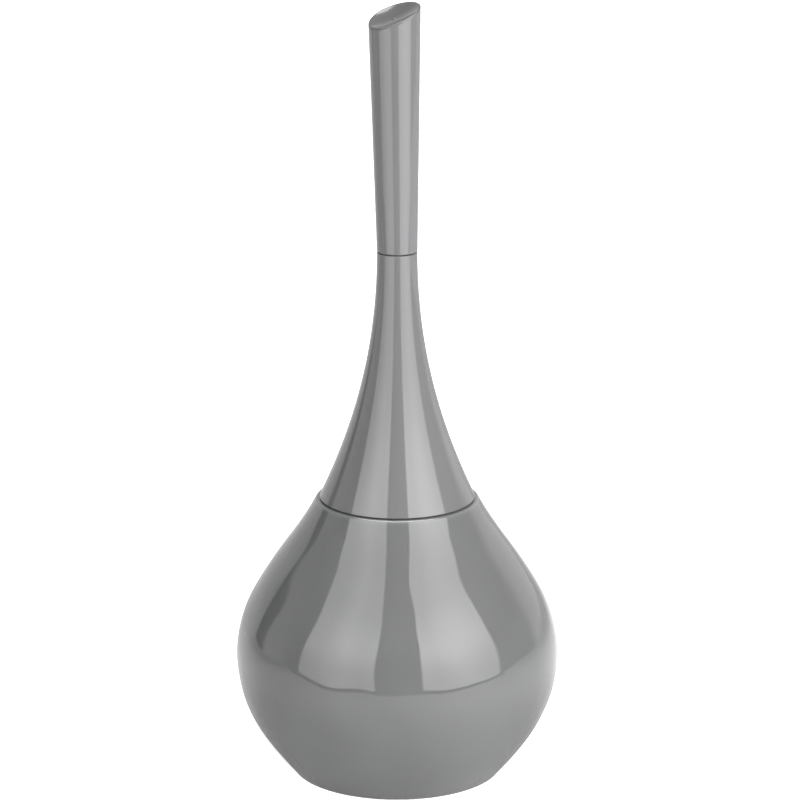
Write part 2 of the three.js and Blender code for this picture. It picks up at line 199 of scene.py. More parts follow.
def mesh_object(name, vertices, faces, materials, face_material=None):
    """A closed body from vertices in millimetres, shaded smooth apart from its sharp edges."""
    mesh = bpy.data.meshes.new(name)
    mesh.from_pydata([tuple(x * MM for x in v) for v in vertices], [], faces)
    for material in materials:
        mesh.materials.append(material)
    work = bmesh.new()
    work.from_mesh(mesh)
    for face in work.faces:
        face.smooth = True
        if face_material:
            face.material_index = face_material(face.calc_center_median() / MM, face.normal)
    for edge in work.edges:
        edge.smooth = edge.calc_face_angle(0) < SHARP
    work.to_mesh(mesh)
    work.free()
    return placed(name, mesh)


def stitched(rings, closed):
    """Faces between rings of vertex numbers. A ring of one vertex is a pole."""
    faces = []
    pairs = list(zip(rings, rings[1:]))
    if closed:
        pairs.append((rings[-1], rings[0]))
    for low, high in pairs:
        sides = max(len(low), len(high))
        for i in range(sides):
            j = (i + 1) % sides
            corners = (low[i % len(low)], low[j % len(low)], high[j % len(high)], high[i % len(high)])
            face = tuple(dict.fromkeys(corners))
            if len(face) > 2:
                faces.append(face)
    return faces


def turned(name, outline, materials, sides=SIDES, shape=None, face_material=None):
    """A body turned about the Z axis. An outline that doesn't meet the axis is closed on itself.
    shape moves each of its points, given as (radius, angle, height)."""
    vertices = []
    rings = []
    for radius, height in outline:
        count = sides if radius > 0 else 1
        rings.append(range(len(vertices), len(vertices) + count))
        for i in range(count):
            angle = 2 * math.pi * i / sides
            r, z, dx = shape(radius, angle, height) if shape else (radius, height, 0)
            vertices.append((r * math.cos(angle) + dx, r * math.sin(angle), z))
    faces = stitched(rings, outline[0][0] > 0)
    return mesh_object(name, vertices, faces, materials, face_material)


def stands_for(piece, body, slot, *nodes):
    """Attaches a piece to its body, and lets it stand for CAD nodes."""
    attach(piece, body)
    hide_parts(*nodes)


# ---------- Materials ----------


def node(tree, kind, inputs=None, **settings):
    """Adds a shader node. An input is a value, or the socket that it is linked from."""
    made = tree.nodes.new(kind)
    for key, value in settings.items():
        setattr(made, key, value)
    for key, value in (inputs or {}).items():
        if isinstance(value, bpy.types.NodeSocket):
            tree.links.new(value, made.inputs[key])
        else:
            made.inputs[key].default_value = value
    return made


def maths(tree, operation, *values):
    """The output of a Math node."""
    return node(tree, "ShaderNodeMath", dict(enumerate(values)), operation=operation).outputs[0]


def remap(tree, value, low, high, to_low, to_high):
    """Maps a value's range smoothly onto another."""
    inputs = {"Value": value, "From Min": low, "From Max": high, "To Min": to_low, "To Max": to_high}
    return node(tree, "ShaderNodeMapRange", inputs, interpolation_type="SMOOTHSTEP").outputs[0]


class Finish:
    """A Principled material that is built up from layers of noise over the object's own metres."""

    def __init__(self, name, **inputs):
        self.material = bpy.data.materials.new(name)
        self.material.use_nodes = True
        self.tree = self.material.node_tree
        self.surface = self.tree.nodes["Principled BSDF"]
        for key, value in inputs.items():
            self.surface.inputs[key.replace("_", " ")].default_value = value
        self.place = node(self.tree, "ShaderNodeTexCoord").outputs["Object"]
        self.normal = None

    def stretched(self, scale):
        """The place, with its axes multiplied by a scale."""
        return node(self.tree, "ShaderNodeMapping", {"Vector": self.place, "Scale": scale}).outputs[0]

    def noise(self, size_mm, detail=2.0, roughness=0.5, place=None):
        """Noise from 0 to 1 whose bumps are about a size across."""
        inputs = {
            "Vector": place or self.place,
            "Scale": 1 / (size_mm * MM),
            "Detail": detail,
            "Roughness": roughness,
        }
        return node(self.tree, "ShaderNodeTexNoise", inputs).outputs[0]

    def spots(self, cell_mm, radius_mm, share):
        """1 inside round spots, one for a share of the cells, and 0 elsewhere."""
        cells = node(self.tree, "ShaderNodeTexVoronoi", {"Vector": self.place, "Scale": 1 / (cell_mm * MM)})
        reach = radius_mm / cell_mm
        inside = remap(self.tree, cells.outputs["Distance"], reach * 0.5, reach, 1.0, 0.0)
        pick = node(self.tree, "ShaderNodeSeparateColor", {"Color": cells.outputs["Color"]}).outputs[0]
        chosen = maths(self.tree, "LESS_THAN", pick, share)
        return maths(self.tree, "MULTIPLY", inside, chosen)

    def height(self, low_mm, high_mm):
        """0 below a height and 1 above another."""
        z = node(self.tree, "ShaderNodeSeparateXYZ", {"Vector": self.place}).outputs["Z"]
        return remap(self.tree, z, low_mm * MM, high_mm * MM, 0.0, 1.0)

    def mix(self, share, first, second):
        """A colour between two others."""
        inputs = {0: share, 6: first, 7: second}
        return node(self.tree, "ShaderNodeMix", inputs, data_type="RGBA").outputs[2]

    def colour(self, value):
        """Links the base colour."""
        self.tree.links.new(value, self.surface.inputs["Base Color"])

    def roughness(self, share, low, high):
        """Roughness that runs between two values with a share."""
        value = node(self.tree, "ShaderNodeMapRange", {"Value": share, "To Min": low, "To Max": high})
        self.tree.links.new(value.outputs[0], self.surface.inputs["Roughness"])

    def bump(self, value, depth_mm, strength=1.0):
        """Adds a layer of relief."""
        inputs = {"Height": value, "Distance": depth_mm * MM, "Strength": strength}
        if self.normal:
            inputs["Normal"] = self.normal
        self.normal = node(self.tree, "ShaderNodeBump", inputs).outputs[0]
        self.tree.links.new(self.normal, self.surface.inputs["Normal"])


def grey(level, red=0.0, green=0.0, blue=0.0):
    """A grey with a small tint."""
    return (level + red, level + green, level + blue, 1)


def glaze_finish():
    """Dark grey stoneware glaze, a little green: it pools, thins at the lip, and has a few pinholes, which
    are pressed in and coloured near-black inside as painted shade.
    """
    finish = Finish("glaze", IOR=1.54, Roughness=0.03)
    pooled = finish.noise(34, detail=3)
    body = finish.mix(pooled, grey(0.098, green=0.0016, blue=0.0006), grey(0.114, green=0.0016, blue=0.0012))
    fine = finish.noise(0.9, detail=3)
    flecked = finish.mix(remap(finish.tree, fine, 0.58, 0.8, 0.0, 0.35), body, grey(0.07, green=0.0015))
    thin = finish.height(RIM_HEIGHT - 2.2, RIM_HEIGHT)
    lipped = finish.mix(thin, flecked, grey(0.135, green=0.004, blue=0.003))
    pinholes_and_shade = finish.spots(26, 0.45, 0.3)
    # painted shade: the pinholes are coloured near-black inside, for the shade in each pit
    finish.colour(finish.mix(pinholes_and_shade, lipped, grey(0.03)))
    finish.roughness(finish.noise(9, detail=4), 0.015, 0.05)
    finish.bump(finish.noise(17, detail=1), 0.045)
    finish.bump(finish.noise(3.2, detail=2), 0.0022)
    finish.bump(pinholes_and_shade, -0.12)
    return finish.material


def biscuit_finish():
    """Unglazed clay on the foot ring, wiped clean before firing."""
    finish = Finish("biscuit", Roughness=0.85)
    grain = finish.noise(0.5, detail=5, roughness=0.7)
    stained = finish.mix(finish.noise(14), (0.47, 0.42, 0.35, 1), (0.56, 0.51, 0.44, 1))
    finish.colour(finish.mix(remap(finish.tree, grain, 0.45, 0.7, 0.0, 0.5), stained, (0.33, 0.29, 0.24, 1)))
    finish.roughness(grain, 0.75, 0.95)
    finish.bump(grain, 0.05)
    return finish.material


def plastic_finish(name, level, low, high, ior, blue):
    """Moulded grey plastic with an even gloss: faint flow marks, dust-fine texture and light handling."""
    finish = Finish(name, IOR=ior)
    flow = finish.noise(22, detail=2, place=finish.stretched((1, 1, 0.25)))
    body = finish.mix(flow, grey(level, blue=blue), grey(level * 1.1, blue=blue))
    specks = remap(finish.tree, finish.noise(0.7, detail=2), 0.66, 0.8, 0.0, 0.25)
    finish.colour(finish.mix(specks, body, grey(level * 0.7)))
    handled = finish.noise(12, detail=5, roughness=0.6)
    finish.roughness(handled, low, high)
    scratches = finish.noise(0.35, detail=1, place=finish.stretched((1, 1, 0.03)))
    finish.bump(finish.noise(40, detail=0), 0.02)
    finish.bump(finish.noise(1.4, detail=2), 0.0009)
    finish.bump(scratches, 0.0004)
    return finish.material


def rubber_finish():
    """Dark soft rubber with a dusty bloom."""
    finish = Finish("dark_rubber")
    bloom = finish.noise(3, detail=5, roughness=0.65)
    finish.colour(finish.mix(bloom, grey(0.018), grey(0.042, blue=0.001)))
    finish.roughness(bloom, 0.5, 0.75)
    finish.bump(finish.noise(0.35, detail=3), 0.02)
    return finish.material


def foam_finish():
    """Closed-cell foam rubber: the cut cells leave the surface finely pitted, and the colour is painted
    darker towards the bottom of each pit as shade.
    """
    finish = Finish("pad_rubber")
    cells = node(finish.tree, "ShaderNodeTexVoronoi", {"Vector": finish.place, "Scale": 1 / (0.4 * MM)})
    depth = cells.outputs["Distance"]
    # painted shade: darker towards the bottom of each pit, following the bump's depth
    finish.colour(finish.mix(depth, grey(0.03), grey(0.085)))
    finish.roughness(depth, 0.95, 0.75)
    finish.bump(depth, 0.08)
    return finish.material


def steel_finish(name, along_axis):
    """Stainless steel, drawn along its axis or turned on a lathe, with fine lines and faint smears."""
    finish = Finish(name, Metallic=1.0, Anisotropic=0.5)
    scale = (1, 1, 0.02) if along_axis else (0.05, 0.05, 1)
    lines = finish.noise(0.12, detail=4, roughness=0.7, place=finish.stretched(scale))
    smears = finish.noise(11, detail=3)
    finish.colour(finish.mix(smears, (0.56, 0.56, 0.55, 1), (0.66, 0.66, 0.66, 1)))
    finish.roughness(lines, 0.2, 0.38)
    finish.bump(lines, 0.006)
    return finish.material


def core_finish():
    """White polypropylene, slightly see-through, with a matt moulded skin."""
    finish = Finish("core_plastic", Subsurface_Weight=0.25, Subsurface_Scale=0.002)
    cloud = finish.noise(8, detail=3)
    finish.colour(finish.mix(cloud, (0.76, 0.77, 0.75, 1), (0.84, 0.85, 0.83, 1)))
    finish.roughness(finish.noise(1.2, detail=4), 0.35, 0.5)
    finish.bump(finish.noise(0.5, detail=3), 0.01)
    return finish.material


def bristle_finish():
    """Pale grey nylon filament with a soft sheen, slightly uneven from tuft to tuft."""
    finish = Finish("bristle", Subsurface_Weight=0.3, Subsurface_Scale=0.001, IOR=1.53)
    tufts = finish.noise(5, detail=2)
    strands = finish.noise(0.6, detail=2)
    body = finish.mix(tufts, (0.44, 0.45, 0.44, 1), (0.52, 0.53, 0.52, 1))
    finish.colour(finish.mix(remap(finish.tree, strands, 0.5, 0.75, 0.0, 0.3), body, (0.34, 0.35, 0.34, 1)))
    finish.roughness(strands, 0.28, 0.45)
    finish.bump(strands, 0.01)
    return finish.material


GLAZE = glaze_finish()
BISCUIT = biscuit_finish()
PLASTIC = plastic_finish("grey_plastic", 0.117, 0.045, 0.075, 1.5, 0.0005)
HANDLE_PLASTIC = plastic_finish("handle_plastic", 0.121, 0.04, 0.065, 1.48, 0.003)
RUBBER = rubber_finish()
FOAM = foam_finish()
DRAWN_STEEL = steel_finish("drawn_steel", along_axis=True)
TURNED_STEEL = steel_finish("turned_steel", along_axis=False)
CORE_PLASTIC = core_finish()
BRISTLE = bristle_finish()

# ---------- Holder ----------

RECESS_RADIUS = FOOT_RADIUS - FOOT_RING_WIDTH - FOOT_RECESS
RECESS_TOP = FOOT_HEIGHT + FOOT_RECESS
FLOOR_HEIGHT = RECESS_TOP + BOWL_FLOOR
FOOT_EDGE = 0.6  # rounding of the foot ring's inner edge
RIM_ROUNDING = 1.4  # softer than the CAD's
MOUTH_ROUNDING = 1
FLOOR_ROUNDING = 7
FLOOR_CORNER = 9  # height above the floor at which the wall's curve ends
MOUTH_RADIUS = RIM_RADIUS - BOWL_WALL / math.sin(RIM_SLOPE)
WAVE_SIZE = 20  # the glaze's slow unevenness
WAVE_DEPTH = 0.28
WAVE_SEED = Vector((3.1, 7.7, 1.9))
WAVE_LOW = (FOOT_HEIGHT + 2, 14)  # heights between which the waves set in
WAVE_HIGH = (RIM_HEIGHT - 9, RIM_HEIGHT - 2)  # and between which they end


def foot_edge():
    """The foot's outer edge, from its underside to where the belly starts."""
    centre = (FOOT_RADIUS, FOOT_HEIGHT + FOOT_ROUNDING)
    return arc(centre, FOOT_ROUNDING, -math.pi / 2, FOOT_SLOPE - math.pi / 2, 6)


def belly(steps, inset=0):
    """The bowl's side from the foot to its widest place."""
    start = foot_edge()[-1]
    low = (BELLY_RADIUS, BELLY_HEIGHT - BELLY_PULL_DOWN)
    return curve(start, along(start, FOOT_SLOPE, FOOT_PULL), low, (BELLY_RADIUS, BELLY_HEIGHT), steps, inset)


def shoulder(steps, inset=0):
    """The bowl's side from its widest place to the rim."""
    rim = (RIM_RADIUS, RIM_HEIGHT)
    low = (BELLY_RADIUS, BELLY_HEIGHT + BELLY_PULL_UP)
    high = along(rim, math.pi - RIM_SLOPE, -RIM_PULL)
    return curve((BELLY_RADIUS, BELLY_HEIGHT), low, high, rim, steps, inset)


def glazed_wave(radius, angle, height):
    """Moves a point of the bowl's outside in or out a little, as slip casting and the glaze leave it."""
    fade = smooth(*WAVE_LOW, height) * (1 - smooth(*WAVE_HIGH, height))
    place = Vector((radius * math.cos(angle), radius * math.sin(angle), height)) / WAVE_SIZE
    return radius + fade * WAVE_DEPTH * noise.noise(place + WAVE_SEED), height, 0


def bowl_surface(centre, normal):
    """Glaze everywhere, apart from the foot ring's underside and the recess inside it."""
    inside_foot = math.hypot(centre.x, centre.y) < FOOT_RADIUS + FOOT_ROUNDING * 0.5
    return 1 if inside_foot and centre.z < RECESS_TOP + 0.5 else 0


def make_bowl():
    inside = belly(40, BOWL_WALL)[:-1] + shoulder(44, BOWL_WALL)
    inside = [p for p in inside if FLOOR_HEIGHT + FLOOR_CORNER < p[1] < RIM_HEIGHT - BOWL_WALL]
    inside.reverse()
    (r1, z1), (r2, z2) = inside[-2:]
    corner = r2 - (r1 - r2) * (z2 - FLOOR_HEIGHT) / (z1 - z2)
    outline = rounded(
        [
            (0, RECESS_TOP),
            (RECESS_RADIUS, RECESS_TOP, 0.5),
            (FOOT_RADIUS - FOOT_RING_WIDTH, FOOT_HEIGHT, FOOT_EDGE),
            *foot_edge(),
            *belly(56)[1:],
            *shoulder(64)[1:-1],
            (RIM_RADIUS, RIM_HEIGHT, RIM_ROUNDING),
            (MOUTH_RADIUS, RIM_HEIGHT, MOUTH_ROUNDING),
            *inside,
            (corner, FLOOR_HEIGHT, FLOOR_ROUNDING),
            (0, FLOOR_HEIGHT),
        ]
    )
    bowl = turned("glazed_bowl", outline, [GLAZE, BISCUIT], shape=glazed_wave, face_material=bowl_surface)
    stands_for(bowl, "holder", "glaze", "holder_bowl")


def make_pads():
    for i in range(1, 5):
        low, high = box(f"foot_pad_{i}")
        radius = (high.x - low.x) / 2
        outline = rounded([(0, 0), (radius, 0, 0.5), (radius, high.z, 0.15), (0, high.z)])
        pad = turned(f"soft_pad_{i}", outline, [FOAM], SIDES_SMALL)
        middle = (low + high) / 2 * MM
        pad.data.transform(Matrix.Translation((middle.x, middle.y, 0)))
        stands_for(pad, "holder", "pad_rubber", f"foot_pad_{i}")


def make_seal():
    inner = MOUTH_RADIUS - COLLAR_CLEARANCE + GAP
    outline = rounded(
        [
            (inner, SEAL_LOW.z, 0.15),
            (SEAL_HIGH.x, SEAL_LOW.z, 0.3),
            (SEAL_HIGH.x, SEAL_HIGH.z, 0.3),
            (inner, SEAL_HIGH.z, 0.15),
        ]
    )
    stands_for(turned("soft_seal", outline, [RUBBER]), "seal", "dark_rubber", "rim_seal")


# ---------- Cone and plate ----------

NECK_BLOCK_BOTTOM = CONE_TOP - NECK_BLOCK
NECK_EDGE = 0.45  # rounding of the cone's top edge
CONE_EDGE = 0.22  # and of its bottom edge
CONE_MOUTH = CONE_RADIUS - CONE_WALL / math.sin(CONE_SLOPE)


def cone_side(steps, inset=0):
    """The cone's side from its bottom edge to the neck."""
    start = (CONE_RADIUS, CONE_BOTTOM)
    neck = (NECK_RADIUS, CONE_TOP)
    low = along(start, math.pi - CONE_SLOPE, CONE_PULL)
    return curve(start, low, (NECK_RADIUS, CONE_TOP - NECK_PULL), neck, steps, inset)


def make_cone():
    inside = [p for p in cone_side(40, CONE_WALL) if CONE_BOTTOM + CONE_WALL < p[1] < NECK_BLOCK_BOTTOM]
    inside.reverse()
    outline = rounded(
        [
            (CONE_MOUTH, CONE_BOTTOM, 0.2),
            (CONE_RADIUS, CONE_BOTTOM, CONE_EDGE),
            *cone_side(72)[1:-1],
            (NECK_RADIUS, CONE_TOP, NECK_EDGE),
            (SPIGOT_HOLE, CONE_TOP, 0.3),
            (SPIGOT_HOLE, NECK_BLOCK_BOTTOM, 0.3),
            (inside[0][0], NECK_BLOCK_BOTTOM),
            *inside,
        ]
    )
    stands_for(turned("cone", outline, [PLASTIC]), "brush", "grey_plastic", "cone_cover")


RIB_COUNT = 8
RIB_WIDTH = 1.2
RIB_DEPTH = 3
RIB_INNER_DEPTH = 1.35
RIB_DRAFT = 0.8  # its width at the bottom as a share of that at the top
RIB_INSET = 3.5  # from the grommet's hole
RIB_SINK = 0.3  # how far a rib runs into the collar


def make_plate():
    """The plate and its collar, with the radial ribs that stiffen a moulded plate underneath."""
    grommet_hole = TUBE_RADIUS + GROMMET_WALL
    collar = MOUTH_RADIUS - COLLAR_CLEARANCE
    inner = collar - COLLAR_WALL
    outer = CONE_MOUTH - GAP
    outline = rounded(
        [
            (grommet_hole, CONE_BOTTOM, 0.2),
            (inner, CONE_BOTTOM, 0.6),
            (inner, PLATE_LOW.z, 0.4),
            (collar, PLATE_LOW.z, 0.7),
            (collar, CONE_BOTTOM, 0.3),
            (outer, CONE_BOTTOM, 0.2),
            (outer - (PLATE_HIGH.z - CONE_BOTTOM) / math.tan(CONE_SLOPE), PLATE_HIGH.z, 0.3),
            (grommet_hole, PLATE_HIGH.z, 0.2),
        ]
    )
    plate = turned("plate", outline, [PLASTIC])
    stands_for(plate, "brush", "grey_plastic", "cover_plate")
    work = bmesh.new()
    for i in range(RIB_COUNT):
        angle = 2 * math.pi * i / RIB_COUNT
        made = bmesh.ops.create_cube(work, size=1)["verts"]
        for v in made:
            radius = lerp(grommet_hole + RIB_INSET, inner + RIB_SINK, v.co.x + 0.5)
            drop = RIB_INNER_DEPTH if v.co.x < 0 else RIB_DEPTH
            height = CONE_BOTTOM + 0.05 if v.co.z > 0 else CONE_BOTTOM - drop
            side = v.co.y * RIB_WIDTH * (1 if v.co.z > 0 else RIB_DRAFT)
            x = radius * math.cos(angle) - side * math.sin(angle)
            y = radius * math.sin(angle) + side * math.cos(angle)
            v.co = Vector((x, y, height)) * MM
    bmesh.ops.bevel(work, geom=work.edges[:], offset=0.25 * MM, segments=3, affect="EDGES", profile=0.5)
    mesh = bpy.data.meshes.new("plate_ribs")
    for face in work.faces:
        face.smooth = True
    work.to_mesh(mesh)
    work.free()
    mesh.materials.append(PLASTIC)
    ribs = placed("plate_ribs", mesh)
    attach(ribs, "brush")


SNUG = 0.05  # gap between pieces that are pushed together


def make_grommet():
    low, high = box("stem_grommet")
    bore = TUBE_RADIUS + SNUG
    waist = TUBE_RADIUS + GROMMET_WALL - 2 * SNUG
    outline = rounded(
        [
            (bore, low.z, 0.3),
            (high.x, low.z, 0.5),
            (high.x, CONE_BOTTOM, 0.15),
            (waist, CONE_BOTTOM),
            (waist, PLATE_HIGH.z),
            (high.x, PLATE_HIGH.z, 0.15),
            (high.x, high.z, 0.5),
            (bore, high.z, 0.3),
        ]
    )
    grommet = turned("grommet", outline, [RUBBER], SIDES_SMALL)
    stands_for(grommet, "brush", "dark_rubber", "stem_grommet")


# ---------- Stem ----------

THREAD_PITCH = 2.5  # as the coupled joints have it
THREAD_DEPTH = 0.9
HOLE_THREAD_DEPTH = 0.54
THREAD_STEP = THREAD_PITCH / 12  # height between the rings that draw a thread
THREAD_EASE = 1.6  # length over which a thread fades out at its end


def thread_shape(depth, low, high):
    """A shape that cuts a right-hand helical groove into a spigot, or with a negative depth a hole."""

    def shape(radius, angle, height):
        if not low < height < high or abs(radius - SPIGOT_RADIUS) > GAP + 0.01:
            return radius, height, 0
        turns = height / THREAD_PITCH - angle / (2 * math.pi)
        groove = smooth(0.25, 0.85, 0.5 - 0.5 * math.cos(2 * math.pi * turns))
        fade = smooth(low, low + THREAD_EASE, height) * (1 - smooth(high - THREAD_EASE, high, height))
        return radius - depth * groove * fade, height, 0

    return shape


def steps_between(radius, low, high, step):
    """Points up a straight wall at a spacing, without its ends."""
    count = round((high - low) / step)
    return [(radius, lerp(low, high, i / count)) for i in range(1, count)]


def make_plug(name, cad_node, flange_radius, up):
    """A plug with an insert in the tube, a flange, and a threaded spigot."""
    low, high = box(cad_node)
    insert = TUBE_RADIUS - TUBE_WALL - SNUG
    if up:
        flange_top = NECK_BLOCK_BOTTOM
        spigot = steps_between(SPIGOT_RADIUS, flange_top + 0.4, high.z - 0.9, THREAD_STEP)
        corners = [
            (0, low.z),
            (insert, low.z, 0.5),
            (insert, flange_top - PLUG_FLANGE),
            (flange_radius, flange_top - PLUG_FLANGE, 0.25),
            (flange_radius, flange_top, 0.25),
            (SPIGOT_RADIUS, flange_top),
            *spigot,
            (SPIGOT_RADIUS, high.z - SPIGOT_CHAMFER),
            (SPIGOT_RADIUS - SPIGOT_CHAMFER, high.z),
            (0, high.z),
        ]
        threaded = (HANDLE_BOTTOM - 0.5, high.z)
    else:
        flange_bottom = TUBE_LOW.z - PLUG_FLANGE
        spigot = steps_between(SPIGOT_RADIUS, low.z + 0.9, flange_bottom - 0.4, THREAD_STEP)
        corners = [
            (0, low.z),
            (SPIGOT_RADIUS - SPIGOT_CHAMFER, low.z),
            (SPIGOT_RADIUS, low.z + SPIGOT_CHAMFER),
            *spigot,
            (SPIGOT_RADIUS, flange_bottom),
            (flange_radius, flange_bottom, 0.25),
            (flange_radius, TUBE_LOW.z, 0.25),
            (insert, TUBE_LOW.z),
            (insert, high.z, 0.5),
            (0, high.z),
        ]
        threaded = (low.z, flange_bottom - 0.3)
    shape = thread_shape(THREAD_DEPTH, *threaded)
    plug = turned(name, rounded(corners), [TURNED_STEEL], SIDES_SMALL, shape)
    stands_for(plug, "brush", "steel", cad_node)


def make_stem():
    inner = TUBE_RADIUS - TUBE_WALL
    outline = rounded(
        [
            (inner, TUBE_LOW.z, 0.15),
            (TUBE_RADIUS, TUBE_LOW.z, 0.2),
            (TUBE_RADIUS, TUBE_HIGH.z, 0.2),
            (inner, TUBE_HIGH.z, 0.15),
        ]
    )
    stands_for(turned("tube", outline, [DRAWN_STEEL], SIDES_SMALL), "brush", "steel", "stem_tube")
    make_plug("top_plug", "stem_top_plug", box("stem_top_plug")[1].x, up=True)
    make_plug("bottom_plug", "stem_bottom_plug", TUBE_RADIUS, up=False)


def make_washer(name, cad_node, body):
    low, high = box(cad_node)
    corners = ((SPIGOT_HOLE, low.z), (high.x, low.z), (high.x, high.z), (SPIGOT_HOLE, high.z))
    washer = turned(name, rounded([(*c, 0.12) for c in corners]), [RUBBER], SIDES_SMALL)
    stands_for(washer, body, "dark_rubber", cad_node)


# ---------- Handle ----------

TOP_CENTRE = HANDLE_BOTTOM + HANDLE_LENGTH
HANDLE_FLARE = (HANDLE_TOP_RADIUS - NECK_RADIUS) / HANDLE_LENGTH
HANDLE_SHIFT = HANDLE_LEAN / HANDLE_LENGTH
HANDLE_EDGE = 0.4  # rounding of the handle's bottom edge
SHELL_EDGE = 0.35  # and of its top edge
SIDE_END = 12  # how far below the top's middle the slant sets in
CAP_LIP = 0.6  # height of the cap's lip, thinner than the CAD's
SEAM = 0.15  # gap between the cap's lip and the shell
LIP_EDGE = 0.38  # rounding of the cap's rim, in height
LIP_REACH = 0.64  # and inwards
TOP_CROWN = 0.0055  # how fast the low half of the slanted top curves down, per millimetre
NUB_RADIUS = 0.85  # the moulding's gate mark in the middle of the dish
NUB_HEIGHT = 0.6
MOAT_RADIUS = 1.3 * NUB_RADIUS  # the shallow ring round it
MOAT_WIDTH = 0.35
MOAT_DEPTH = 0.08
SETTLING = 12  # rounds that find a point on the slanted top


def handle_radius(height):
    """The handle's radius at a height."""
    return NECK_RADIUS + HANDLE_FLARE * (height - HANDLE_BOTTOM)


def leaning(name, rings, material):
    """A closed body that follows the handle's flare and lean. A ring is (kind, value, inset, share): it
    lies at a height, or at a distance below the slanted top, inside the handle's surface by an inset or
    at a share of the radius."""
    vertices = []
    numbers = []
    for kind, value, inset, share in rings:
        count = 1 if share == 0 else SIDES
        numbers.append(range(len(vertices), len(vertices) + count))
        for i in range(count):
            angle = 2 * math.pi * i / SIDES
            z = value if kind == "at" else TOP_CENTRE
            for _ in range(SETTLING if kind == "below" else 1):
                r = handle_radius(z) * share - inset
                x = (r * math.cos(angle) if share else 0) - HANDLE_SHIFT * (z - HANDLE_BOTTOM)
                if kind == "below":
                    along_top = x + HANDLE_LEAN
                    z = TOP_CENTRE - value / math.cos(TOP_SLANT) + math.tan(TOP_SLANT) * along_top
                    z -= TOP_CROWN * min(along_top, 0) ** 2
            vertices.append((x, r * math.sin(angle) if share else 0, z))
    return mesh_object(name, vertices, stitched(numbers, closed=rings[0][3] != 0), [material])


def edge_rings(kind, start, height, reach, entering, steps=5):
    """Rings that round an edge between the handle's side and a face, towards the face or away from it."""
    rings = []
    for i in range(steps + 1):
        turn = math.pi / 2 * (i / steps if entering else 1 - i / steps)
        away = height * (1 - math.sin(turn))
        depth = reach * (1 - math.cos(turn))
        rings.append((kind, start + away, depth, 1))
    return rings


def make_shell():
    low_edge = edge_rings("at", HANDLE_BOTTOM, HANDLE_EDGE, HANDLE_EDGE, entering=False)
    top_edge = edge_rings("below", CAP_LIP, SHELL_EDGE, SHELL_EDGE, entering=True)
    rings = [
        ("at", HANDLE_BOTTOM, HANDLE_WALL, 1),
        *low_edge,
        ("at", HANDLE_BOTTOM + HANDLE_EDGE * 1.2, 0, 1),
        ("at", HANDLE_BOTTOM + HANDLE_LENGTH / 2, 0, 1),
        ("at", TOP_CENTRE - SIDE_END, 0, 1),
        ("below", CAP_LIP + SHELL_EDGE + 0.1, 0, 1),
        *top_edge,
        ("below", CAP_LIP, HANDLE_WALL, 1),
        ("at", TOP_CENTRE - SIDE_END - 4, HANDLE_WALL, 1),
    ]
    stands_for(leaning("handle", rings, HANDLE_PLASTIC), "handle", "grey_plastic", "handle_shell")


def dish_depth(share):
    """How deep the dish lies below the slanted top at a share of its radius, with the gate mark."""
    depth = DISH_DEPTH * (1 - share**2)
    distance = share * (HANDLE_TOP_RADIUS - DISH_RIM)
    nub = max(0, 1 - (distance / NUB_RADIUS) ** 2)
    moat = math.exp(-(((distance - MOAT_RADIUS) / MOAT_WIDTH) ** 2))
    return depth - NUB_HEIGHT * math.sqrt(nub) + MOAT_DEPTH * moat


def make_cap():
    fit = HANDLE_WALL + GAP
    lip = CAP_LIP - SEAM
    dish_share = (HANDLE_TOP_RADIUS - DISH_RIM) / HANDLE_TOP_RADIUS
    shares = [1, 0.99, 0.97, *(i / 24 for i in range(23, 3, -1)), *(i / 150 for i in range(22, 0, -1))]
    dish = [("below", dish_depth(s), 0, s * dish_share) for s in shares]
    rings = [
        ("below", CAP_WALL + DISH_DEPTH, 0, 0),
        ("below", CAP_WALL + DISH_DEPTH, fit + CAP_WALL, 1),
        ("below", CAP_LIP + CAP_SKIRT, fit + CAP_WALL, 1),
        ("below", CAP_LIP + CAP_SKIRT, fit, 1),
        ("below", lip, fit, 1),
        ("below", lip, 0.05, 1),
        ("below", lip - 0.03, 0, 1),
        ("below", LIP_EDGE * 1.08, 0, 1),
        *edge_rings("below", 0, LIP_EDGE, LIP_REACH, entering=True),
        ("below", 0, DISH_RIM - 0.3, 1),
        *dish,
        ("below", dish_depth(0), 0, 0),
    ]
    stands_for(leaning("cap", rings, HANDLE_PLASTIC), "handle", "grey_plastic", "handle_cap")


def make_socket():
    low, high = box("handle_socket")
    fit = HANDLE_WALL + GAP
    hole_top = HANDLE_BOTTOM + THREAD_LENGTH + SOCKET_SPARE
    threads = thread_shape(-HOLE_THREAD_DEPTH, HANDLE_BOTTOM, hole_top)

    def shape(radius, angle, height):
        if radius > SPIGOT_HOLE + 1:
            return radius, height, -HANDLE_SHIFT * (height - HANDLE_BOTTOM)
        return threads(radius, angle, height)

    bore = steps_between(SPIGOT_HOLE, HANDLE_BOTTOM, hole_top, THREAD_STEP)
    bore.reverse()
    outline = rounded(
        [
            (SPIGOT_HOLE, HANDLE_BOTTOM),
            (handle_radius(low.z) - fit, low.z, 0.2),
            (handle_radius(high.z) - fit, high.z, 0.4),
            (0, high.z),
        ]
    )
    outline = [(0, hole_top), (SPIGOT_HOLE, hole_top), *bore, *outline]
    socket = turned("socket", outline, [PLASTIC], SIDES_SMALL, shape)
    stands_for(socket, "handle", "grey_plastic", "handle_socket")


# ---------- Brush head ----------

